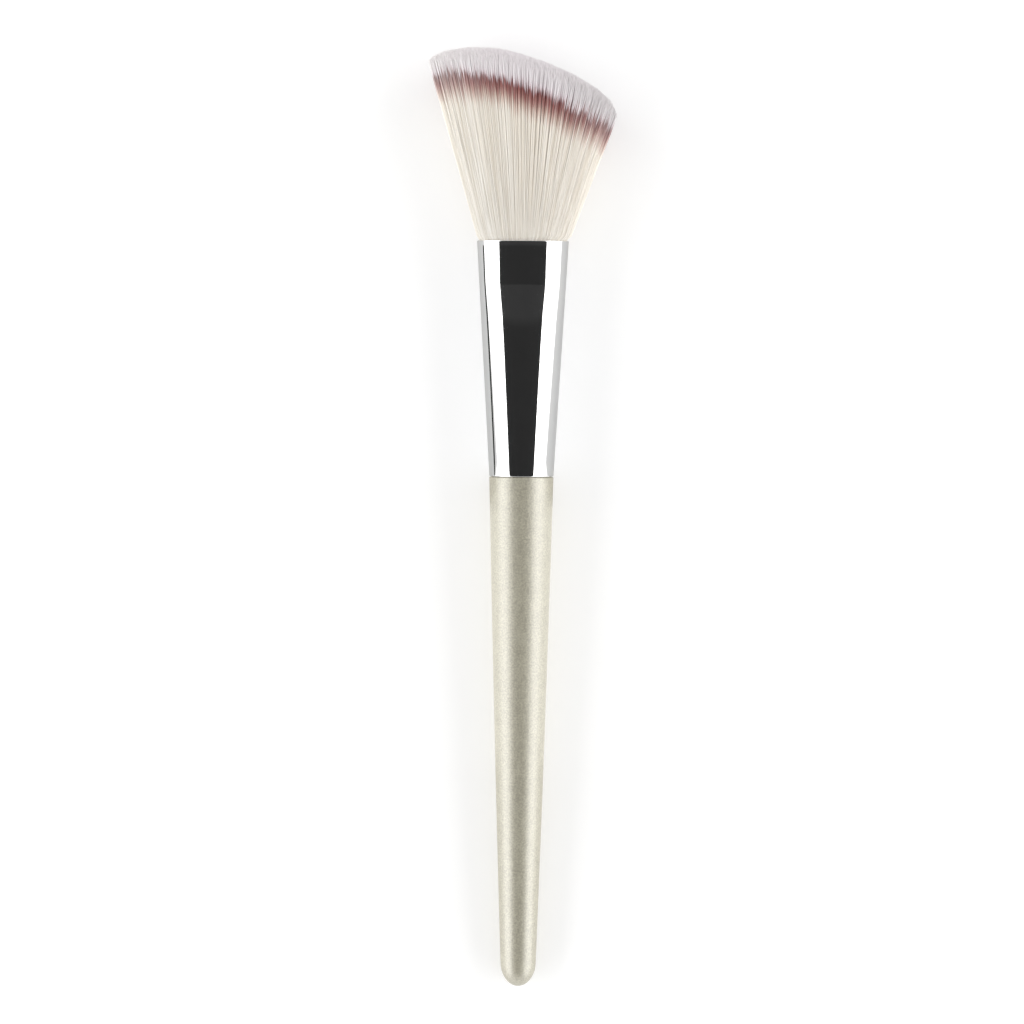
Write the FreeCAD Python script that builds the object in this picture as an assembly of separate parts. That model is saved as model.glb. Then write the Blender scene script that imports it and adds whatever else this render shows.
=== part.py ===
import FreeCAD, Part
import math
import os

# Angled foundation brush, in millimetres.
# Each piece is modelled on the brush's own axis, with the ferrule's mouth at y = 0, the bristles towards +Y,
# the broad faces towards +Z and -Z, and the long corner of the slanted head towards -X.
# At the end the brush is laid down on its broad face, as it would come to rest on a table.

# Handle
handle_length = 97.9
joint_diameter = 12.3
handle_swell = 0.12
tail_diameter = 6.8
tail_round_length = 4.6
handle_edge_radius = 0.25
tenon_chamfer = 0.8

# Ferrule
ferrule_length = 45.2
ferrule_wall = 0.45
shoulder_length = 15.3
shoulder_thickness = 11.75
press_length = 8.3
press_thickness = 10.8
mouth_width = 17.6
mouth_thickness = 11.6
lip_radius = 0.3
bore_edge_radius = 0.12
joint_edge_radius = 0.12

# Tuft: how far it is held, how it fans out, and how high its long and its short side stand.
# The head's slanted dome comes from a lens-shaped cup that lies across the fan and reaches past it all round.
root_depth = 15.3
lip_spread = 0.2
lip_spread_height = 0.9
long_side_flare = 0.285
short_side_flare = 0.375
face_flare = 0.095
long_side_height = 32.6
short_side_height = 22.2
cup_height = 8.55
cup_long_clearance = 1.32
cup_short_clearance = 0.57
cup_face_clearance = 4.0
shoulder_round = 1.5
lock_count = 40
lock_bulge = 0.3
lock_bulge_spread = 0.3
lock_unevenness = 0.28

# Resin that holds the roots
resin_depth = 6.0

# Fits
seat_clearance = 0.05
tenon_clearance = 5.5

# Longest stretch of a tapering wall that is drawn straight, and the steps that draw a rounded edge or end
band_length = 6.1
edge_steps = 3
tail_steps = 6
lock_steps = 3
fan_bands = 5
dome_shares = [1.0, 0.85, 0.6, 0.3]

# Phase steps, in radians from lock to lock, that scatter where the locks part and how far they bulge
parting_phases = [2.4, 0.9]
bulge_phase = 5.1

# Steps that find the tilt at which the brush rests
resting_steps = 12

joint_radius = joint_diameter / 2
joint_y = -ferrule_length
shoulder_y = -shoulder_length
press_y = -press_length
root_y = -root_depth
tenon_end_y = root_y - resin_depth - tenon_clearance


def point(x, y, z=0.0):
    return FreeCAD.Vector(x, y, z)


def blend(start, end, share):
    return start + (end - start) * share


def arch(share):
    """Height of an arch that rises from 0 to 1 midway and falls back to 0."""
    return 4 * share * (1 - share)


def stations(start, end):
    """Places from start to end, no further apart than one band."""
    bands = math.ceil(abs(end - start) / band_length)
    return [blend(start, end, i / bands) for i in range(bands + 1)]


def quarter_round(steps):
    """Steps round a quarter circle of radius 1: how far along each one is, and how far it has turned in."""
    angles = [math.pi / 2 * i / steps for i in range(steps + 1)]
    return [(math.sin(a), 1 - math.cos(a)) for a in angles]


def quarter_ellipse(start, corner, end):
    """The quarter of an ellipse that leaves start towards corner and arrives at end from corner."""
    curve = Part.BezierCurve()
    curve.setPoles([start, corner, end])
    curve.setWeight(2, math.sqrt(0.5))
    return curve.toShape()


def oval_wire(half_width, half_thickness, y):
    """A closed oval across the brush, in four quarters, so that lofted ovals pair up quarter by quarter."""
    w = half_width
    t = half_thickness
    right = point(w, y)
    top = point(0, y, t)
    left = point(-w, y)
    bottom = point(0, y, -t)
    quarters = [
        quarter_ellipse(right, point(w, y, t), top),
        quarter_ellipse(top, point(-w, y, t), left),
        quarter_ellipse(left, point(-w, y, -t), bottom),
        quarter_ellipse(bottom, point(w, y, -t), right),
    ]
    return Part.Wire(quarters)


def loft(sections):
    return Part.makeLoft(sections, True, True)


def ferrule_half_sizes(y, inset=0.0):
    """Half width and half thickness of the ferrule at y: round at the joint, pinched at the press line."""
    half_width = blend(joint_radius, mouth_width / 2, (y - joint_y) / ferrule_length)
    if y < shoulder_y:
        thickness = blend(joint_diameter, shoulder_thickness, (y - joint_y) / (shoulder_y - joint_y))
    elif y < press_y:
        thickness = blend(shoulder_thickness, press_thickness, (y - shoulder_y) / (press_y - shoulder_y))
    else:
        thickness = blend(press_thickness, mouth_thickness, (y - press_y) / press_length)
    return half_width - inset, thickness / 2 - inset


def ferrule_stations(start, end):
    """Places along the ferrule from start to end, with one wherever its slope changes between them."""
    turns = [y for y in (shoulder_y, press_y) if start < y < end]
    places = [start]
    for y in turns + [end]:
        places += stations(places[-1], y)[1:]
    return places


def ferrule_oval(y, inset=0.0):
    return oval_wire(*ferrule_half_sizes(y, inset), y)


def ferrule_outside():
    """The outer form, with the edge broken at the joint and the lip rounded over at the mouth."""
    r = lip_radius
    places = ferrule_stations(joint_y + joint_edge_radius, -r)
    sections = [ferrule_oval(joint_y, joint_edge_radius)]
    sections += [ferrule_oval(y) for y in places]
    sections += [ferrule_oval(-r + r * along, r * turned) for along, turned in quarter_round(edge_steps)[1:]]
    return loft(sections)


def ferrule_bore():
    """The inner form: the same walls one thickness further in, opened a little at the mouth."""
    places = ferrule_stations(joint_y, -bore_edge_radius)
    sections = [ferrule_oval(y, ferrule_wall) for y in places]
    sections.append(ferrule_oval(0.0, ferrule_wall - bore_edge_radius))
    return loft(sections)


def ferrule():
    """Thin drawn tube, round where it takes the handle and pressed to an oval at the mouth."""
    return ferrule_outside().cut(ferrule_bore())


def round_wire(radius, y):
    return oval_wire(radius, radius, y)


def grip_radius(y, start_y, end_y):
    """Radius of the tapering grip, with a slight swell midway."""
    share = (y - start_y) / (end_y - start_y)
    return blend(joint_radius, tail_diameter / 2, share) + handle_swell * arch(share)


def handle_grip():
    """The visible part of the handle: a broken edge at the ferrule, a long taper and a rounded tail."""
    e = handle_edge_radius
    tail_y = joint_y - handle_length
    tail_start_y = tail_y + tail_round_length
    sections = [
        round_wire(joint_radius - e * turned, joint_y - e + e * along)
        for along, turned in reversed(quarter_round(edge_steps)[1:])
    ]
    for y in stations(joint_y - e, tail_start_y):
        sections.append(round_wire(grip_radius(y, joint_y - e, tail_start_y), y))
    for along, turned in quarter_round(tail_steps)[1:-1]:
        radius = tail_diameter / 2 * (1 - turned)
        sections.append(round_wire(radius, tail_start_y - tail_round_length * along))
    sections.append(Part.Vertex(0, tail_y, 0))
    return loft(sections)


def handle_tenon():
    """The turned-down end that fills the ferrule's bore as the pressed tube narrows, short of the resin."""
    walls = ferrule_stations(joint_y, tenon_end_y - tenon_chamfer)
    radii = [min(ferrule_half_sizes(y, ferrule_wall + seat_clearance)) for y in walls]
    sections = [round_wire(r, y) for r, y in zip(radii, walls)]
    sections.append(round_wire(radii[-1] - tenon_chamfer, tenon_end_y))
    return loft(sections)


def handle():
    """Turned in one piece: the grip, its shoulder against the ferrule's end, and the tenon inside it."""
    return handle_grip().fuse(handle_tenon())


def root_resin():
    """Cast plug that the bristle roots stand on, filling the bore below them."""
    places = ferrule_stations(root_y - resin_depth, root_y)
    return loft([ferrule_oval(y, ferrule_wall + seat_clearance) for y in places])


def bundle_half_sizes():
    """Half width and half thickness of the bundle once it has spread over the ferrule's lip."""
    return ferrule_half_sizes(0.0, ferrule_wall + seat_clearance - lip_spread)


def fan_sizes(angle):
    """Where the fan's outside would start at the mouth if it were straight to there, and how fast it fans."""
    half_width, half_thickness = bundle_half_sizes()
    side_flare = short_side_flare if math.cos(angle) > 0 else long_side_flare
    start = point(half_width * math.cos(angle), 0, half_thickness * math.sin(angle))
    growth = point(side_flare * math.cos(angle), 1, face_flare * math.sin(angle))
    return start, growth


def cup_ends():
    """The two ends of the cup, beside the fan's long side and beside its short side."""
    half_width = bundle_half_sizes()[0]
    long_reach = half_width + long_side_flare * long_side_height + cup_long_clearance
    short_reach = half_width + short_side_flare * short_side_height + cup_short_clearance
    return point(-long_reach, long_side_height), point(short_reach, short_side_height)


def cup_centre():
    long_end, short_end = cup_ends()
    return (long_end + short_end) * 0.5


def cup_share(offset):
    """An offset from the cup's centre, in shares of its half sizes along its slant, height and depth."""
    long_end, short_end = cup_ends()
    slanted = (short_end - long_end) * 0.5
    upright = point(-slanted.y, slanted.x) / slanted.Length
    half_thickness = bundle_half_sizes()[1]
    half_depth = half_thickness + face_flare * cup_centre().y + cup_face_clearance
    along = offset.dot(slanted) / slanted.Length ** 2
    return point(along, offset.dot(upright) / cup_height, offset.z / half_depth)


def reach_cup(start, direction):
    """How far a straight line runs from start, in steps of direction, before it leaves the cup."""
    a = cup_share(direction)
    b = cup_share(start - cup_centre())
    half = a.dot(b)
    return (-half + math.sqrt(half * half - a.dot(a) * (b.dot(b) - 1))) / a.dot(a)


def bore_place(angle, y):
    half_width, half_thickness = ferrule_half_sizes(y, ferrule_wall + seat_clearance)
    return point(half_width * math.cos(angle), y, half_thickness * math.sin(angle))


def shoulder_corner(angle, bulge):
    """Where the fanned side would meet the dome if the shoulder between them were sharp."""
    start, growth = fan_sizes(angle)
    outward = point(math.cos(angle), 0, math.sin(angle))
    return start + growth * reach_cup(start, growth) + outward * bulge


def fan_place(angle, share, bulge):
    """A place on the fanned side, a share of the way from just above the lip to where the shoulder rounds."""
    start, growth = fan_sizes(angle)
    outward = point(math.cos(angle), 0, math.sin(angle))
    height = blend(lip_spread_height, reach_cup(start, growth) - shoulder_round, share)
    return start + growth * height + outward * (bulge * share)


def dome_place(angle, share, bulge):
    """A place on the dome, a share of the way out from its middle to where the shoulder starts to round."""
    corner = shoulder_corner(angle, bulge)
    middle = point(cup_centre().x, 0)
    out = point(corner.x, 0, corner.z) - middle
    ground = middle + out * (share * (1 - shoulder_round / out.Length))
    return ground + point(0, reach_cup(ground, point(0, 1)))


def shoulder_place(angle, bulge):
    """The middle of the rounded shoulder, drawn in from its corner."""
    ends = fan_place(angle, 1.0, bulge) + dome_place(angle, 1.0, bulge)
    return (ends + shoulder_corner(angle, bulge) * 2) * 0.25


def lock_angles():
    """Where the furrows between neighbouring locks lie, unevenly spaced as hair parts by itself."""
    step = 2 * math.pi / lock_count
    wander = [sum(math.sin(phase * i) for phase in parting_phases) for i in range(lock_count)]
    return [step * (i + lock_unevenness * w) for i, w in enumerate(wander)]


def lock_ring(place):
    """A ring round the bundle: each lock stands out between its two furrows."""
    angles = lock_angles()
    angles.append(angles[0] + 2 * math.pi)
    corners = []
    for i in range(lock_count):
        bulge = lock_bulge * (1 - lock_bulge_spread * (1 - math.sin(bulge_phase * i)))
        for step in range(lock_steps):
            share = step / lock_steps
            corners.append(place(blend(angles[i], angles[i + 1], share), bulge * arch(share)))
    return Part.makePolygon(corners + corners[:1])


def bristle_tuft():
    """The bundle: snug in the ferrule, spread over its lip, fanned, parted into locks, domed on a slant."""
    held = ferrule_stations(root_y, 0.0)
    fanned = [i / fan_bands for i in range(fan_bands + 1)]
    rings = [lock_ring(lambda angle, bulge: bore_place(angle, y)) for y in held]
    rings += [lock_ring(lambda angle, bulge: fan_place(angle, share, bulge)) for share in fanned]
    rings.append(lock_ring(shoulder_place))
    rings += [lock_ring(lambda angle, bulge: dome_place(angle, share, bulge)) for share in dome_shares]
    top = Part.Vertex(dome_place(0.0, 0.0, 0.0))
    sides = Part.makeLoft(rings, False, True)
    crown = Part.makeLoft([rings[-1], top], False, True)
    skin = Part.makeShell(sides.Faces + crown.Faces + [Part.Face(rings[0])])
    skin.sewShape()
    return Part.makeSolid(skin)


def tilted(shape, tilt):
    turned = shape.copy()
    turned.rotate(point(0, 0), point(1, 0), tilt)
    return turned


def lowest(shape):
    return shape.optimalBoundingBox(False).ZMin


def resting_tilt(tuft, stiff_pieces):
    """The tilt at which the tuft's belly and the stiff part's lowest place touch one level."""
    reach = long_side_height + ferrule_length + handle_length
    tilt = 0.0
    for _ in range(resting_steps):
        gap = lowest(tilted(tuft, tilt)) - lowest(tilted(stiff_pieces, tilt))
        tilt -= math.degrees(gap / reach)
    return tilt


pieces = {
    "handle": handle(),
    "ferrule": ferrule(),
    "bristle_tuft": bristle_tuft(),
    "root_resin": root_resin(),
}

tilt = resting_tilt(pieces["bristle_tuft"], Part.makeCompound([pieces["handle"], pieces["ferrule"]]))
laid = {name: tilted(shape, tilt) for name, shape in pieces.items()}
box = Part.makeCompound(list(laid.values())).optimalBoundingBox(False)
to_origin = point(-(box.XMin + box.XMax) / 2, -(box.YMin + box.YMax) / 2, -box.ZMin)

os.makedirs("parts", exist_ok=True)
for name, shape in laid.items():
    shape.translate(to_origin)
    shape.exportStep("parts/" + name + ".step")
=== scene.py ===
import math

import bpy
import numpy as np
from mathutils import Matrix, Vector
from mathutils.bvhtree import BVHTree


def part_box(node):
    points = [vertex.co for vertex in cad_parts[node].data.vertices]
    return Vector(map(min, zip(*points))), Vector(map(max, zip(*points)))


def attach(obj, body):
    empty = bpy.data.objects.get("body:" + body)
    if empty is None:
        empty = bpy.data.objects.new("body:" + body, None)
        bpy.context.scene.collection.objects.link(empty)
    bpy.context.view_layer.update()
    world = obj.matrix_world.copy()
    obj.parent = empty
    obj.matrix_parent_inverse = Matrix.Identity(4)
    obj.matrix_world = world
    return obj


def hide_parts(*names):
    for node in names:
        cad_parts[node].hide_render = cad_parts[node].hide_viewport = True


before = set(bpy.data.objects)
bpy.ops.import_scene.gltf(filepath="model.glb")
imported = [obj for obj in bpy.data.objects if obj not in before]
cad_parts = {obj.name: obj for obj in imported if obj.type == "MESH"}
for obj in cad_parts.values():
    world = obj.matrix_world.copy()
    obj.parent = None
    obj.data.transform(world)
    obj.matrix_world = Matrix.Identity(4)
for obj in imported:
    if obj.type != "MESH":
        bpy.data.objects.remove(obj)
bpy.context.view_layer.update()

bpy.ops.object.select_all(action="DESELECT")


# Handle
# One wooden stick, turned to a long taper with a rounded tail and dipped in a satin pearl-champagne lacquer.
# Its turned-down tenon is glued into the ferrule, so the taper starts at a small shoulder against the tube.
handle_length = 0.0979
handle_swell = 0.00012
handle_edge = 0.00025
tail_radius = 0.0034
tail_round_length = 0.0046
tenon_clearance = 0.00005
tenon_chamfer = 0.0008
tenon_rim_depth = 0.0003
pole_share = 0.02
lathe_sides = 96
grip_bands = 24
tail_steps = 9
edge_steps = 4
smooth_angle = math.radians(40)
rim_tolerance = 1e-6

handle_points = [v.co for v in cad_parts["handle"].data.vertices]
tail_end = min(handle_points, key=lambda p: p.y)
tenon_rim_y = max(p.y for p in handle_points) - tenon_rim_depth
tenon_rim = [p for p in handle_points if p.y > tenon_rim_y]
tenon_end = sum(tenon_rim, Vector()) / len(tenon_rim)
joint_radius = (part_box("handle")[1][0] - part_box("handle")[0][0]) / 2

ferrule_length = 0.0452
ferrule_wall = 0.00045
brush_axis = (tenon_end - tail_end).normalized()
mouth = tail_end + brush_axis * (handle_length + ferrule_length)
brush_tilt = math.atan2(brush_axis.z, brush_axis.y)

# Pieces are modelled upright, with the tube's mouth at the origin and the bristles up, and then laid down.
lay_down = Matrix.Translation(mouth) @ Matrix.Rotation(brush_tilt - math.pi / 2, 4, "X")


class Wire:
    """A value in a material. Sums written with it add the Math nodes that work them out."""

    def __init__(self, material, socket):
        self.material = material
        self.socket = socket

    def sum(self, operation, first, second):
        return self.material.node("ShaderNodeMath", {"operation": operation}, {0: first, 1: second})

    def __add__(self, other):
        return self.sum("ADD", self, other)

    def __sub__(self, other):
        return self.sum("SUBTRACT", self, other)

    def __rsub__(self, other):
        return self.sum("SUBTRACT", other, self)

    def __mul__(self, other):
        return self.sum("MULTIPLY", self, other)

    def __truediv__(self, other):
        return self.sum("DIVIDE", self, other)

    __radd__ = __add__
    __rmul__ = __mul__


class Finish:
    """The nodes of a new material, or of a new world, around its one shader."""

    def __init__(self, made, constants):
        self.made = made
        self.made.use_nodes = True
        self.tree = self.made.node_tree
        self.shader = next(n for n in self.tree.nodes if n.type in ("BSDF_PRINCIPLED", "BACKGROUND"))
        for socket, value in constants.items():
            self.connect(self.shader.inputs[socket], value)

    def node(self, kind, settings={}, values={}, output=0):
        """Adds a node with its settings and its sockets' values or wires, and gives one of its outputs."""
        node = self.tree.nodes.new(kind)
        for setting, value in settings.items():
            setattr(node, setting, value)
        for socket, value in values.items():
            self.connect(node.inputs[socket], value)
        return Wire(self, node.outputs[output])

    def connect(self, socket, value):
        """Links a wire to a socket, or sets the socket to a plain value."""
        if isinstance(value, Wire):
            self.tree.links.new(value.socket, socket)
        else:
            socket.default_value = value

    def ramp(self, value, stops):
        """A colour ramp over a value, from stops of place and colour."""
        wire = self.node("ShaderNodeValToRGB", {}, {0: value})
        elements = wire.socket.node.color_ramp.elements
        for place, colour in stops[len(elements):]:
            elements.new(place)
        for element, (place, colour) in zip(elements, stops):
            element.position = place
            element.color = (*colour, 1.0)
        return wire

    def surface(self, wires):
        """Connects the shader, and gives the finished material or world."""
        for socket, wire in wires.items():
            self.connect(self.shader.inputs[socket], wire)
        return self.made


def ring_up(rise, across, deep, centre):
    """Extrudes the selected open ring along the brush and scales it about the axis."""
    bpy.ops.mesh.extrude_edges_move(TRANSFORM_OT_translate={"value": (0, 0, rise)})
    bpy.ops.transform.resize(value=(across, deep, 1), center_override=(0, 0, centre))


def raised(name, rings, closed_top):
    """A shell round the brush's axis through rings of half width, half depth and height, in their order."""
    half_width, half_depth, height = rings[0]
    bpy.ops.mesh.primitive_circle_add(vertices=lathe_sides, radius=half_width, location=(0, 0, height))
    bpy.ops.object.transform_apply()
    bpy.ops.object.mode_set(mode="EDIT")
    bpy.ops.transform.resize(value=(1, half_depth / half_width, 1), center_override=(0, 0, height))
    for before, after in zip(rings, rings[1:]):
        ring_up(after[2] - before[2], after[0] / before[0], after[1] / before[1], after[2])
    if closed_top:
        bpy.ops.mesh.merge(type="CENTER")
    bpy.ops.mesh.select_all(action="SELECT")
    bpy.ops.mesh.normals_make_consistent(inside=False)
    bpy.ops.object.mode_set(mode="OBJECT")
    shell = bpy.context.active_object
    shell.name = name
    shell.data.name = name
    return shell


def lay(piece, material):
    """Lays an upright piece down in its place on the table and gives it its material."""
    piece.data.transform(lay_down)
    piece.data.materials.append(material)
    bpy.ops.object.select_all(action="DESELECT")


def quarter_round(steps):
    """Steps round a quarter circle of radius 1: how far along each one is, and how far it has turned in."""
    angles = [math.pi / 2 * i / steps for i in range(steps + 1)]
    return [(math.sin(a), 1 - math.cos(a)) for a in angles]


joint_z = -ferrule_length
tail_z = joint_z - handle_length
tail_start_z = tail_z + tail_round_length
tenon_z = (tenon_end - mouth).dot(brush_axis)
tenon_radius = joint_radius - ferrule_wall - tenon_clearance
tenon_end_radius = max((p - tenon_end).length for p in tenon_rim)
grip_start_z = joint_z - handle_edge
grip_shares = [i / grip_bands for i in range(grip_bands + 1)]

handle_profile = [(tenon_end_radius, tenon_z), (tenon_end_radius + tenon_chamfer, tenon_z - tenon_chamfer)]
handle_profile += [(tenon_radius, joint_z)]
handle_profile += [
    (joint_radius - handle_edge * turned, joint_z - handle_edge + handle_edge * along)
    for along, turned in reversed(quarter_round(edge_steps)[1:])
]
handle_profile += [
    (joint_radius + (tail_radius - joint_radius) * s + handle_swell * 4 * s * (1 - s),
     grip_start_z + (tail_start_z - grip_start_z) * s)
    for s in grip_shares
]
handle_profile += [
    (tail_radius * (1 - turned), tail_start_z - tail_round_length * along)
    for along, turned in quarter_round(tail_steps)[1:-1]
]
handle_profile += [(tail_radius * pole_share, tail_z)]

stick = raised("handle_stick", [(r, r, z) for r, z in handle_profile], closed_top=True)
bpy.ops.object.mode_set(mode="EDIT")
bpy.ops.mesh.select_all(action="DESELECT")
bpy.ops.object.mode_set(mode="OBJECT")
for edge in stick.data.edges:
    edge.select = all(stick.data.vertices[v].co.z > tenon_z - rim_tolerance for v in edge.vertices)
bpy.ops.object.mode_set(mode="EDIT")
bpy.ops.mesh.edge_face_add()
bpy.ops.mesh.select_all(action="SELECT")
bpy.ops.mesh.normals_make_consistent(inside=False)
bpy.ops.object.mode_set(mode="OBJECT")
bpy.ops.object.shade_smooth_by_angle(angle=smooth_angle)

lacquer_champagne = (0.31, 0.283, 0.20)
lacquer_pale = (0.505, 0.475, 0.35)
flake_scale = 3200.0
cloud_scale = 420.0
flake_share = 0.85
flake_relief = 0.4
lacquer_roughness = 0.36
flake_roughness = 0.16
lacquer_coat = 0.22
cloud_coat = 0.1
lacquer = Finish(
    bpy.data.materials.new("pearl_lacquer"), {"Metallic": 0.15, "IOR": 3.0, "Coat Roughness": 0.3}
)
place = lacquer.node("ShaderNodeTexCoord", output="Object")
flake = lacquer.node("ShaderNodeTexNoise", {}, {"Vector": place, "Scale": flake_scale, "Detail": 3.0})
cloud = lacquer.node("ShaderNodeTexNoise", {}, {"Vector": place, "Scale": cloud_scale, "Detail": 3.0})
mottle = flake * flake_share + cloud * (1 - flake_share)
pearl = lacquer.ramp(mottle, [(0.36, lacquer_champagne), (0.64, lacquer_pale)])
sparkle = lacquer.node(
    "ShaderNodeBump", {}, {"Height": flake, "Strength": flake_relief, "Distance": 0.0001}
)
pearl_lacquer = lacquer.surface({
    "Base Color": pearl,
    "Roughness": lacquer_roughness + flake * flake_roughness,
    "Coat Weight": lacquer_coat + cloud * cloud_coat,
    "Normal": sparkle,
})
lay(stick, pearl_lacquer)
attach(stick, "root")
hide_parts("handle")


# Ferrule
# A thin aluminium tube, drawn, plated and polished to a mirror. It is round where it takes the handle, is
# pressed on the bundle along a line below the mouth, and widens from there to its rolled lip.
shoulder_length = 0.0153
shoulder_half_thickness = 0.005875
press_length = 0.0083
press_half_thickness = 0.0054
mouth_half_width = 0.0088
mouth_half_thickness = 0.0058
press_softness = 0.00025
shoulder_softness = 0.0015
lip_radius = 0.00018
seam_gap = 0.0001
tube_bands = 10
shoulder_bands = 5
press_bands = 4


def tube_half_sizes(z):
    """Half width and half thickness of the tube at a height: round at the joint, pinched at the press."""
    half_width = joint_radius + (mouth_half_width - joint_radius) * (1 + z / ferrule_length)
    turns = [joint_z, -shoulder_length, -press_length, 0.0]
    half_sizes = [joint_radius, shoulder_half_thickness, press_half_thickness, mouth_half_thickness]
    return half_width, float(np.interp(z, turns, half_sizes))


shoulder_start = -shoulder_length - shoulder_softness
shoulder_end = -shoulder_length + shoulder_softness
press_start = -press_length - press_softness
press_end = -press_length + press_softness
tube_heights = list(np.linspace(joint_z + seam_gap, shoulder_start, tube_bands + 1))
tube_heights += list(np.linspace(shoulder_end, press_start, shoulder_bands))
tube_heights += list(np.linspace(press_end, 0.0, press_bands + 1))
tube = raised("ferrule_tube", [(*tube_half_sizes(z), z) for z in tube_heights], closed_top=False)
wall = tube.modifiers.new("wall", "SOLIDIFY")
wall.thickness = ferrule_wall
wall.offset = -1
wall.use_even_offset = True
bpy.ops.object.modifier_apply(modifier=wall.name)
rim = tube.modifiers.new("rolled_rim", "BEVEL")
rim.width = lip_radius
rim.segments = 4
rim.limit_method = "ANGLE"
rim.angle_limit = math.radians(60)
bpy.ops.object.modifier_apply(modifier=rim.name)
bpy.ops.object.shade_smooth_by_angle(angle=smooth_angle)

chrome_grey = (0.93, 0.935, 0.94)
chrome_bright = (0.965, 0.965, 0.965)
hairline_scale = 9000.0
haze_scale = 160.0
drawing_stretch = (1.0, 0.04, 1.0)
mirror_roughness = 0.025
haze_roughness = 0.02
hairline_roughness = 0.01
chrome = Finish(bpy.data.materials.new("polished_chrome"), {"Metallic": 1.0})
place = chrome.node("ShaderNodeTexCoord", output="Object")
drawn = chrome.node("ShaderNodeMapping", {}, {"Vector": place, "Scale": drawing_stretch})
hairline = chrome.node("ShaderNodeTexNoise", {}, {"Vector": drawn, "Scale": hairline_scale, "Detail": 2.0})
haze = chrome.node("ShaderNodeTexNoise", {}, {"Vector": place, "Scale": haze_scale, "Detail": 2.0})
plating = chrome.ramp(haze, [(0.3, chrome_grey), (0.7, chrome_bright)])
sheen = mirror_roughness + haze * haze_roughness + hairline * hairline_roughness
chrome_plating = chrome.surface({"Base Color": plating, "Roughness": sheen})
lay(tube, chrome_plating)
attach(tube, "root")
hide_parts("ferrule")


# Root resin
# The amber glue that is poured into the tube on the bristles' roots and sets to a hard plug. Nothing of it
# shows from outside, so the plug keeps its solid from the frame and gets the cloudy amber of cast resin.
amber_deep = (0.52, 0.36, 0.13)
amber_pale = (0.72, 0.56, 0.27)
swirl_scale = 700.0
resin_roughness = 0.16
swirl_roughness = 0.1

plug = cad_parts["root_resin"]
resin = Finish(bpy.data.materials.new("cast_resin"), {})
place = resin.node("ShaderNodeTexCoord", output="Object")
swirl = resin.node("ShaderNodeTexNoise", {}, {"Vector": place, "Scale": swirl_scale, "Detail": 3.0})
amber = resin.ramp(swirl, [(0.3, amber_deep), (0.7, amber_pale)])
plug.data.materials.clear()
cast_resin = resin.surface({"Base Color": amber, "Roughness": resin_roughness + swirl * swirl_roughness})
plug.data.materials.append(cast_resin)


# Bristles
# Thousands of fine synthetic filaments with pointed white tips, each dyed red-brown in a band below its tip
# and left cream under it. They stand in the resin, fill the tube, fan out of its mouth, and are packed and
# trimmed to a slanted dome.
filament_count = 23000
filament_radius = 0.000060
root_depth = 0.0153
lip_spread = 0.0002
lip_spread_height = 0.0009
seat_clearance = 0.00005
long_side_flare = 0.285
short_side_flare = 0.375
face_flare = 0.095
long_side_cast_share = 0.962
short_side_cast_share = 0.955
face_cast_share = 0.965
long_side_bulge = 0.00010
short_side_bulge = 0.00045
packing_jitter = 0.5
coat_density = 0.46
filament_seed = 11
cast_start = 0.010
tip_scatter = 0.0003
tip_stand = 0.00008
shoulder_trim = 0.0005
shoulder_place = 0.4
shoulder_reach = 0.6
lock_count = 6000
lock_pull = 0.02
weakest_lock = 0.4
lock_batch = 1000
tip_wander = 0.00027
taper_length = 0.0042
head_half_sizes = (0.0175, 0.0085)
point_length = 0.0010
colour_length = 0.0600
colour_columns = 128
column_scatter = 0.07
column_edge = 0.1
cap_depth = 0.0005

rng = np.random.default_rng(filament_seed)

# One filament is modelled once, as a three-sided rod with a ring at each station and a point for its tip.
station_widths = np.array([1.0, 1.0, 1.0, 0.96, 0.66, 0.0])
tip_station = len(station_widths) - 1
bpy.ops.mesh.primitive_circle_add(vertices=3, radius=1.0, fill_type="NGON")
bpy.ops.object.mode_set(mode="EDIT")
for station in range(tip_station):
    bpy.ops.mesh.extrude_region_move(TRANSFORM_OT_translate={"value": (0, 0, 1)})
bpy.ops.mesh.merge(type="CENTER")
bpy.ops.mesh.select_all(action="SELECT")
bpy.ops.mesh.normals_make_consistent(inside=False)
bpy.ops.object.mode_set(mode="OBJECT")
rod = bpy.context.active_object
rod_points = np.array([v.co for v in rod.data.vertices])
rod_faces = [list(p.vertices) for p in rod.data.polygons]
bpy.data.objects.remove(rod)
rod_station = np.rint(rod_points[:, 2]).astype(int)
rod_angle = np.arctan2(rod_points[:, 1], rod_points[:, 0])
rod_side = np.rint((rod_angle - rod_angle[0]) % (2 * math.pi) / (2 * math.pi / 3)) % 3

# Where each filament stands in the bundle, as its place in a disc of radius 1
order = np.arange(filament_count) + 0.5
golden_angle = math.pi * (3 - math.sqrt(5))
disc_radius = (order / filament_count) ** coat_density
disc = np.stack([disc_radius * np.cos(order * golden_angle), disc_radius * np.sin(order * golden_angle)], 1)
disc += rng.normal(0, packing_jitter / math.sqrt(filament_count), disc.shape)
too_far = np.linalg.norm(disc, axis=1).clip(1.0)
disc = disc / too_far[:, None]

bore_sizes = np.array(tube_half_sizes(0.0)) - ferrule_wall - seat_clearance
root_sizes = np.array(tube_half_sizes(-root_depth)) - ferrule_wall - seat_clearance
side_flare = np.where(disc[:, 0] > 0, short_side_flare, long_side_flare)
side_bulge = np.where(disc[:, 0] > 0, short_side_bulge, long_side_bulge)
zeros = np.zeros(filament_count)


def fan_line(place):
    """Where the straight lines of the fan start at the mouth, for places in the disc, and how they grow."""
    spread = bore_sizes + lip_spread + np.stack([side_bulge, zeros], 1)
    start = np.column_stack([place * spread, zeros])
    return start, np.column_stack([place[:, 0] * side_flare, place[:, 1] * face_flare, zeros + 1])


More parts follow.
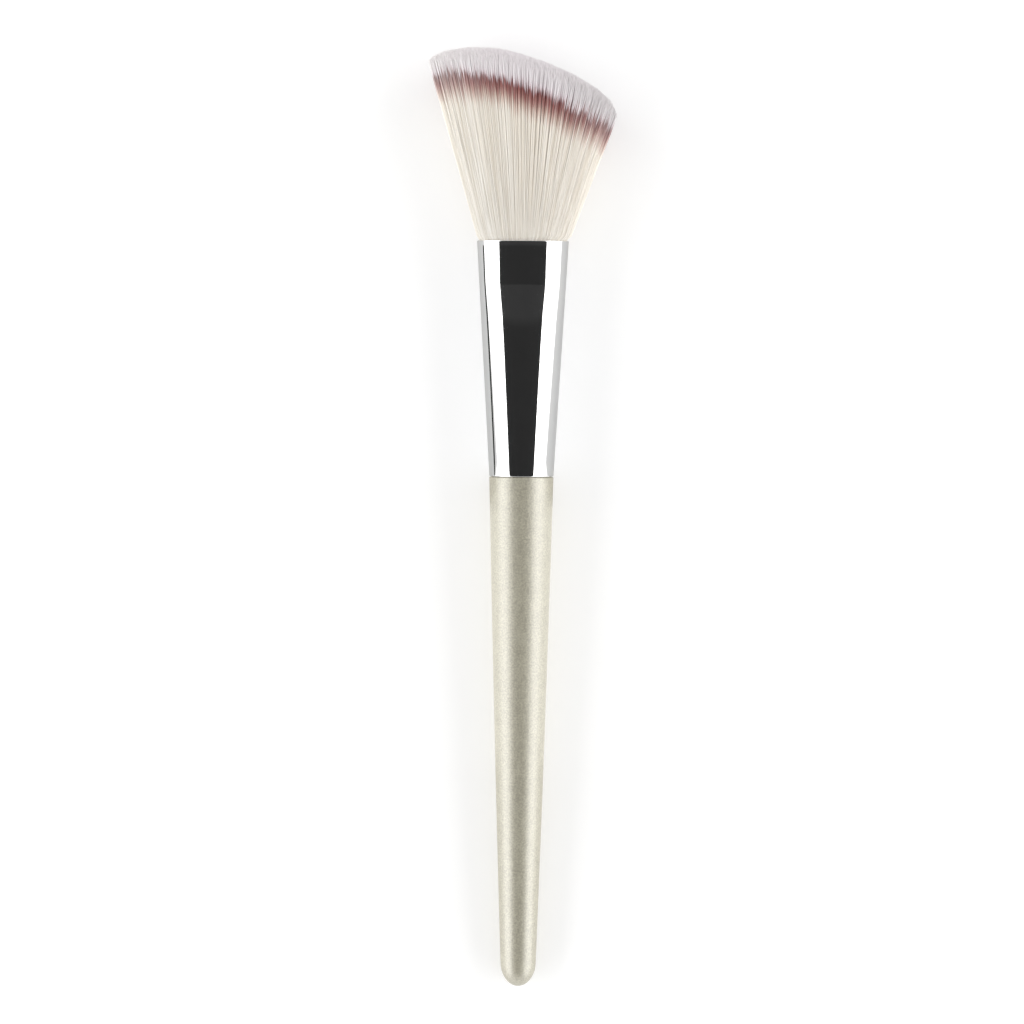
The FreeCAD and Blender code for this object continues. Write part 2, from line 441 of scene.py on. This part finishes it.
# Neighbours gather in locks, and each tip also wanders a little, so that filaments cross on their way up.
lock_centres = disc[rng.choice(filament_count, lock_count, replace=False)]
nearest_lock = np.empty(filament_count, int)
for start in range(0, filament_count, lock_batch):
    gaps = disc[start:start + lock_batch, None] - lock_centres[None]
    nearest_lock[start:start + lock_batch] = (gaps ** 2).sum(2).argmin(1)
lock_draw = lock_pull * rng.uniform(weakest_lock, 1.0, lock_count)[nearest_lock, None]
tip_disc = disc + (lock_centres[nearest_lock] - disc) * lock_draw
tip_disc += rng.normal(0, tip_wander, disc.shape) / head_half_sizes
tip_disc = tip_disc / np.linalg.norm(tip_disc, axis=1).clip(1.0)[:, None]

# Each filament runs to the crown of the tuft's solid, which a ray finds along the line through its tip. The
# rays are drawn in a little, so that those of the outermost filaments meet the crown too.
tuft_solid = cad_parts["bristle_tuft"].data
stand_up = lay_down.inverted()
crown = BVHTree.FromPolygons(
    [stand_up @ v.co for v in tuft_solid.vertices],
    [tuple(p.vertices) for p in tuft_solid.polygons],
)
line_start, line_growth = fan_line(tip_disc)
reach = np.empty(filament_count)
for i in range(filament_count):
    side_cast_share = short_side_cast_share if disc[i, 0] > 0 else long_side_cast_share
    inward = Vector((side_cast_share, face_cast_share, 1.0))
    cast = Vector(line_growth[i]) * inward
    hit = crown.ray_cast(Vector(line_start[i]) * inward + cast * cast_start, cast)[0]
    reach[i] = hit.z if hit else cast_start
reach += tip_stand - rng.uniform(0, 1, filament_count) ** 2 * tip_scatter

# The head is trimmed a little deeper on its rounded shoulder, towards the short side.
reach -= (1 - ((disc[:, 0] - shoulder_place) / shoulder_reach) ** 2).clip(0) * shoulder_trim

tip_place = line_start + line_growth * reach[:, None]
lip_place = fan_line(disc)[0]
growth = (tip_place - lip_place) / reach[:, None]


def along(height):
    """Places of all filaments at given heights above the mouth."""
    return lip_place + growth * height[:, None]


station_heights = [zeros - root_depth, zeros, zeros + lip_spread_height]
station_heights += [reach - taper_length, reach - point_length, reach]
station_places = [np.column_stack([disc * root_sizes, zeros - root_depth])]
station_places += [np.column_stack([disc * bore_sizes, zeros])]
station_places += [along(h) for h in station_heights[2:]]
stations = np.stack(station_places, 1)
from_tip = reach[:, None] - np.stack(station_heights, 1)

# On the colour map the columns run from the long side of the head to the short side, a little mixed.
across_head = (disc[:, 0] + 1) / 2 + rng.normal(0, column_scatter, filament_count)
column = (across_head * colour_columns).astype(int).clip(0, colour_columns - 1)

# A filament's three sides lie side by side in its column, and run from its tip down.
corner_points = []
corner_sides = []
for face in rod_faces:
    sides = [rod_side[v] for v in face if rod_station[v] < tip_station]
    over_seam = 0 in sides and 2 in sides and 1 not in sides
    face_middle = np.mean([3 if over_seam and s == 0 else s for s in sides])
    for v in face:
        corner_points.append(v)
        if rod_station[v] == tip_station:
            corner_sides.append(face_middle)
        elif over_seam and rod_side[v] == 0:
            corner_sides.append(3)
        else:
            corner_sides.append(rod_side[v])
corner_points = np.array(corner_points)
corner_sides = np.array(corner_sides)
face_sizes = np.array([len(face) for face in rod_faces])
cap_lift = np.where((rod_station == 0) & (rod_side == 1), cap_depth, 0.0)


def filament_piece(name, chosen, material):
    """One mesh of the chosen filaments, each a copy of the rod bent onto its line."""
    count = len(chosen)
    turn = rng.uniform(0, 2 * math.pi, (count, 1)) + rod_angle
    radius = filament_radius * station_widths[rod_station]
    across = np.stack([np.cos(turn) * radius, np.sin(turn) * radius, 0 * turn], 2)
    points = (stations[chosen][:, rod_station] + across).reshape(-1, 3)
    corners = (np.arange(count)[:, None] * len(rod_points) + corner_points).ravel()
    face_starts = np.cumsum(np.tile(face_sizes, count)) - np.tile(face_sizes, count)
    share_of_column = column_edge + (1 - 2 * column_edge) * corner_sides / 3
    u = (column[chosen, None] + share_of_column) / colour_columns
    v = (from_tip[chosen][:, rod_station] + cap_lift)[:, corner_points] / colour_length

    mesh = bpy.data.meshes.new(name)
    mesh.vertices.add(len(points))
    mesh.vertices.foreach_set("co", points.ravel())
    mesh.loops.add(len(corners))
    mesh.loops.foreach_set("vertex_index", corners)
    mesh.polygons.add(len(face_starts))
    mesh.polygons.foreach_set("loop_start", face_starts)
    mesh.update(calc_edges=True)
    mesh.uv_layers.new(name="OFBake").data.foreach_set("uv", np.stack([u, v], 2).ravel())
    mesh.shade_flat()
    piece = bpy.data.objects.new(name, mesh)
    bpy.context.scene.collection.objects.link(piece)
    lay(piece, material)
    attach(piece, "root")
    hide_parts("bristle_tuft")


tip_white = (0.952, 0.920, 0.932)
tip_lilac = (0.95, 0.865, 0.905)
band_maroon = (0.27, 0.062, 0.060)
band_brown = (0.42, 0.155, 0.135)
band_tan = (0.72, 0.54, 0.46)
filament_cream = (0.98, 0.931, 0.848)
pale_cream_and_painted_light = (0.965, 0.955, 0.93)
band_span = 0.012
band_stops = [
    (0.0, tip_white), (0.0012, tip_white), (0.0021, tip_lilac), (0.0031, band_maroon),
    (0.0046, band_brown), (0.0062, band_tan), (0.0082, filament_cream),
]
middle_drop = 0.0009
short_side_drop = 0.0002
# Painted light: how much paler, and how much lighter, the thin sides of the head are painted.
long_side_painted_light_paleness = 0.45
short_side_painted_light_paleness = 0.25
painted_side_lightness = 0.06
# Painted shade: the filaments darken deeper down towards the root, and more in the middle of the head.
painted_root_shade = 2.7
painted_middle_shade = 1.6
low_side_places = (0.66, 0.80)
last_side_places = (0.84, 1.0)
edge_rise = 0.0026
short_side_step = 0.0013
band_unevenness = 0.0017
least_stretch = 0.82
stretch_unevenness = 0.34
low_side_stretch = 0.08
paleness_unevenness = 0.08
least_tone = 0.972
tone_unevenness = 0.035
# Painted shade on the tips reaches this far down from the point.
painted_tip_shade_length = 0.006
filament_roughness = 0.42
roughness_unevenness = 0.2
# Painted shade greys the tips, most towards the short side and a little at both edges.
painted_short_side_shade = 0.14
painted_edge_shade = 0.10

# Besides the dye, this material paints light and shade on the filaments: paler, lighter sides, and shade
# deeper down, in the middle and on the side tips.
dyed = Finish(bpy.data.materials.new("dyed_filament_with_painted_light"), {})
bundle_map = dyed.node("ShaderNodeUVMap", {"uv_map": "OFBake"})
across_map = dyed.node("ShaderNodeSeparateXYZ", {}, {0: bundle_map}, output="X")
from_tip_map = dyed.node("ShaderNodeSeparateXYZ", {}, {0: bundle_map}, output="Y")
which = dyed.node("ShaderNodeMath", {"operation": "FLOOR"}, {0: across_map * colour_columns})


def chance(seed):
    """A random number from 0 to 1 for each filament's column."""
    return dyed.node("ShaderNodeTexWhiteNoise", {"noise_dimensions": "1D"}, {"W": which + seed})


def rising(value, start, end):
    """0 up to the start, 1 from the end on, and even in between."""
    return dyed.node("ShaderNodeMapRange", {}, {"Value": value, "From Min": start, "From Max": end})


# The band lies lower in the middle of the head and towards its short side, and rises again at that side's
# edge.
# The thin sides, which let more light through, get painted light: they are painted paler and lighter.
across = which / colour_columns
middle = across * (1 - across) * 4
sidewards = 1 - middle
painted_light_paleness = long_side_painted_light_paleness + across * (short_side_painted_light_paleness - long_side_painted_light_paleness)
from_tip_length = from_tip_map * colour_length
low_side = rising(across, *low_side_places)
last_side = rising(across, *last_side_places)
band_drop = middle * middle_drop + across * short_side_drop
band_drop = band_drop + low_side * short_side_step - last_side * edge_rise
band_shift = (chance(0.31) - 0.5) * band_unevenness - band_drop
band_stretch = least_stretch + chance(17.77) * stretch_unevenness + low_side * low_side_stretch
down = (from_tip_length + band_shift) * band_stretch
dye = dyed.ramp(down / band_span, [(place / band_span, colour) for place, colour in band_stops])
# Paleness that varies at random per column, plus painted light that makes the sides paler.
random_and_painted_light_pale_share = chance(41.13) * paleness_unevenness + sidewards * painted_light_paleness
paler_random_and_painted_light = dyed.node(
    "ShaderNodeMix", {"data_type": "RGBA"}, {"Factor": random_and_painted_light_pale_share, 6: dye, 7: (*pale_cream_and_painted_light, 1.0)}, output=2
)
# Painted shade, greying the tips towards the sides.
near_tip = 1 - rising(from_tip_length, 0.0, painted_tip_shade_length)
painted_tip_shade = near_tip * (across * across * painted_short_side_shade + sidewards * painted_edge_shade)
# Painted shade, darker deeper down and in the middle of the head.
painted_depth_shade = from_tip_length * (painted_root_shade + middle * painted_middle_shade)
# The tone varies at random, is painted lighter at the sides, and carries the painted shades above.
tone_with_painted_light_and_shade = least_tone + chance(73.91) * tone_unevenness + sidewards * painted_side_lightness - painted_depth_shade - painted_tip_shade
toned_with_painted_light_and_shade = dyed.node("ShaderNodeVectorMath", {"operation": "SCALE"}, {0: paler_random_and_painted_light, "Scale": tone_with_painted_light_and_shade})
roughness = filament_roughness + chance(5.53) * roughness_unevenness
dyed_filament_with_painted_light = dyed.surface({"Base Color": toned_with_painted_light_and_shade, "Roughness": roughness})

# The filaments make four pieces of about even size: the bundle's core and its coat, front and back.
share_out = np.linalg.norm(disc, axis=1)
core_share = 0.5 ** coat_density
is_core = share_out < core_share
is_front = disc[:, 1] < 0
for name, chosen in {
    "bristles_core_front": is_core & is_front,
    "bristles_core_back": is_core & ~is_front,
    "bristles_coat_front": ~is_core & is_front,
    "bristles_coat_back": ~is_core & ~is_front,
}.items():
    filament_piece(name, np.flatnonzero(chosen), dyed_filament_with_painted_light)


# Studio
# The brush lies on a white table between two big soft boxes. Cards that only glossy pieces show make the
# reflections: a black one above for the tube's dark stripe, and others on the table for the sides.
table_white = (0.86, 0.86, 0.86)
table_glow = (0.20, 0.20, 0.20)
paper_scale = 30.0
paper_unevenness = 0.01
box_distance = 0.60
box_height = 0.62
box_length = 1.60
box_power = 5.4
box_gap = 0.01
card_height = 0.45
card_half_width = 0.43
card_half_length = 0.80
card_black = (0.021, 0.021, 0.021)
card_far_grey = (0.032, 0.032, 0.032)
card_far_places = (0.045, 0.065)
card_lift = 0.0003
grey_card_half_width = 0.16
grey_card_share = 0.76
grey_card_shift = 0.14
card_grey = (0.64, 0.64, 0.635)
bright_card_half_width = 0.08
bright_card_half_length = 0.025
bright_card_gap = 0.0055
bright_card_white = (0.9, 0.9, 0.9)
bright_card_glow = 0.55
dark_card_lift = 0.0006
dark_card_half_size = 0.01
dark_card_near = (0.0223, 0.0277)
dark_card_far = (0.060, 0.158)
dark_card_near_share = -0.60
dark_card_far_share = 0.52
sky_level = 0.62


def seen_directly(finish):
    """1 where the camera, a mirror or glass sees the finish, and 0 where it only gives light."""
    rays = ["Is Camera Ray", "Is Glossy Ray", "Is Transmission Ray"]
    return sum(finish.node("ShaderNodeLightPath", output=ray) for ray in rays)


bpy.ops.mesh.primitive_plane_add(size=4.0, location=(0, 0, 0))
table = bpy.context.active_object
table.name = "table"
table_top = Finish(
    bpy.data.materials.new("table_top"),
    {"Roughness": 0.7, "Specular IOR Level": 0.1, "Emission Strength": 1.0},
)
place = table_top.node("ShaderNodeTexCoord", output="Object")
paper = table_top.node("ShaderNodeTexNoise", {}, {"Vector": place, "Scale": paper_scale, "Detail": 3.0})
paper_white = tuple(c + paper_unevenness for c in table_white)
whites = table_top.ramp(paper, [(0.3, table_white), (0.7, paper_white)])

# The table glows to the camera and in mirrors alone, which keeps it white and leaves the brush its shadow.
glow = table_top.node(
    "ShaderNodeMix", {"data_type": "RGBA"},
    {"Factor": seen_directly(table_top), 6: (0.0, 0.0, 0.0, 1.0), 7: (*table_glow, 1.0)}, output=2,
)
table.data.materials.append(table_top.surface({"Base Color": whites, "Emission Color": glow}))

for side in (-1, 1):
    light = bpy.data.lights.new("soft_box", "AREA")
    light.shape = "RECTANGLE"
    light.size = box_length
    light.size_y = box_height
    light.energy = box_power
    lamp = bpy.data.objects.new("soft_box", light)
    facing_in = Matrix(((0, 0, side, 0), (1, 0, 0, 0), (0, side, 0, 0), (0, 0, 0, 1)))
    lamp.matrix_world = Matrix.Translation((side * box_distance, 0, box_height / 2 + box_gap)) @ facing_in
    bpy.context.scene.collection.objects.link(lamp)


def mirror_card(name, colour, far_colour, half_width, half_length, middle, glow=0.0):
    """A flat card that only shows in the glossy pieces, in another grey at its far end."""
    bpy.ops.mesh.primitive_plane_add(size=2.0, location=middle)
    bpy.ops.transform.resize(value=(half_width, half_length, 1), center_override=middle)
    bpy.ops.object.transform_apply()
    card = bpy.context.active_object
    card.name = name
    constants = {"Roughness": 0.9, "Specular IOR Level": 0.0, "Emission Strength": glow}
    finish = Finish(bpy.data.materials.new(name), constants)
    place = finish.node("ShaderNodeTexCoord", output="Object")
    along_card = finish.node("ShaderNodeSeparateXYZ", {}, {0: place}, output="Y")
    tones = finish.ramp(along_card, list(zip(card_far_places, (colour, far_colour))))
    card.data.materials.append(finish.surface({"Base Color": tones, "Emission Color": tones}))
    card.visible_camera = False
    card.visible_shadow = False
    card.visible_diffuse = False
    card.visible_transmission = False
    return card


mirror_card("black_card", card_black, card_far_grey, card_half_width, card_half_length, (0, 0, card_height))

# The grey card round the tube gives its sides their grey edges, the bright card brightens the handle's sides,
# and the dark wedge draws the fine line at the tube's left.
tube_middle = mouth - brush_axis * (ferrule_length / 2)
grey_card_middle = (tube_middle.x, tube_middle.y + ferrule_length * grey_card_shift, card_lift)
grey_card_half_length = ferrule_length * grey_card_share
mirror_card("grey_card", card_grey, card_grey, grey_card_half_width, grey_card_half_length, grey_card_middle)
joint = mouth - brush_axis * ferrule_length
bright_card_middle = (joint.x, joint.y - bright_card_gap - bright_card_half_length, card_lift)
mirror_card(
    "bright_card", bright_card_white, bright_card_white,
    bright_card_half_width, bright_card_half_length, bright_card_middle, bright_card_glow,
)
dark_card_middle = (tube_middle.x, tube_middle.y, dark_card_lift)
wedge = mirror_card(
    "dark_card", card_black, card_black, dark_card_half_size, dark_card_half_size, dark_card_middle
)
for corner in wedge.data.vertices:
    at_mouth = corner.co.y > tube_middle.y
    near, far = dark_card_far if at_mouth else dark_card_near
    corner.co.x = tube_middle.x - (far if corner.co.x < tube_middle.x else near)
    corner.co.y = tube_middle.y + ferrule_length * (dark_card_far_share if at_mouth else dark_card_near_share)

# The sky is full white to the camera and in mirrors, and dimmer as a light.
sky = Finish(bpy.data.worlds.new("sky"), {"Color": (1.0, 1.0, 1.0, 1.0)})
bpy.context.scene.world = sky.surface({"Strength": sky_level + seen_directly(sky) * (1 - sky_level)})


# Camera
# A long lens straight above the brush, as far away as frames it. The camera is turned a little, so that the
# brush leans as it does in the photograph.
sensor_width = 0.036
focal_length = 0.200
view_width = 0.1964
view_centre = (-0.00128, 0.00104)
view_level = 0.006
view_roll = 0.385
mm_in_metre = 1000

camera_data = bpy.data.cameras.new("camera")
camera_data.sensor_width = sensor_width * mm_in_metre
camera_data.lens = focal_length * mm_in_metre
camera = bpy.data.objects.new("camera", camera_data)
distance = view_width * focal_length / sensor_width
camera.location = (*view_centre, view_level + distance)
camera.rotation_euler = (0, 0, math.radians(view_roll))
bpy.context.scene.collection.objects.link(camera)
bpy.context.scene.camera = camera
bpy.context.scene.view_settings.view_transform = "Standard"
bpy.context.scene.cycles.diffuse_bounces = 10
bpy.context.scene.cycles.max_bounces = 14
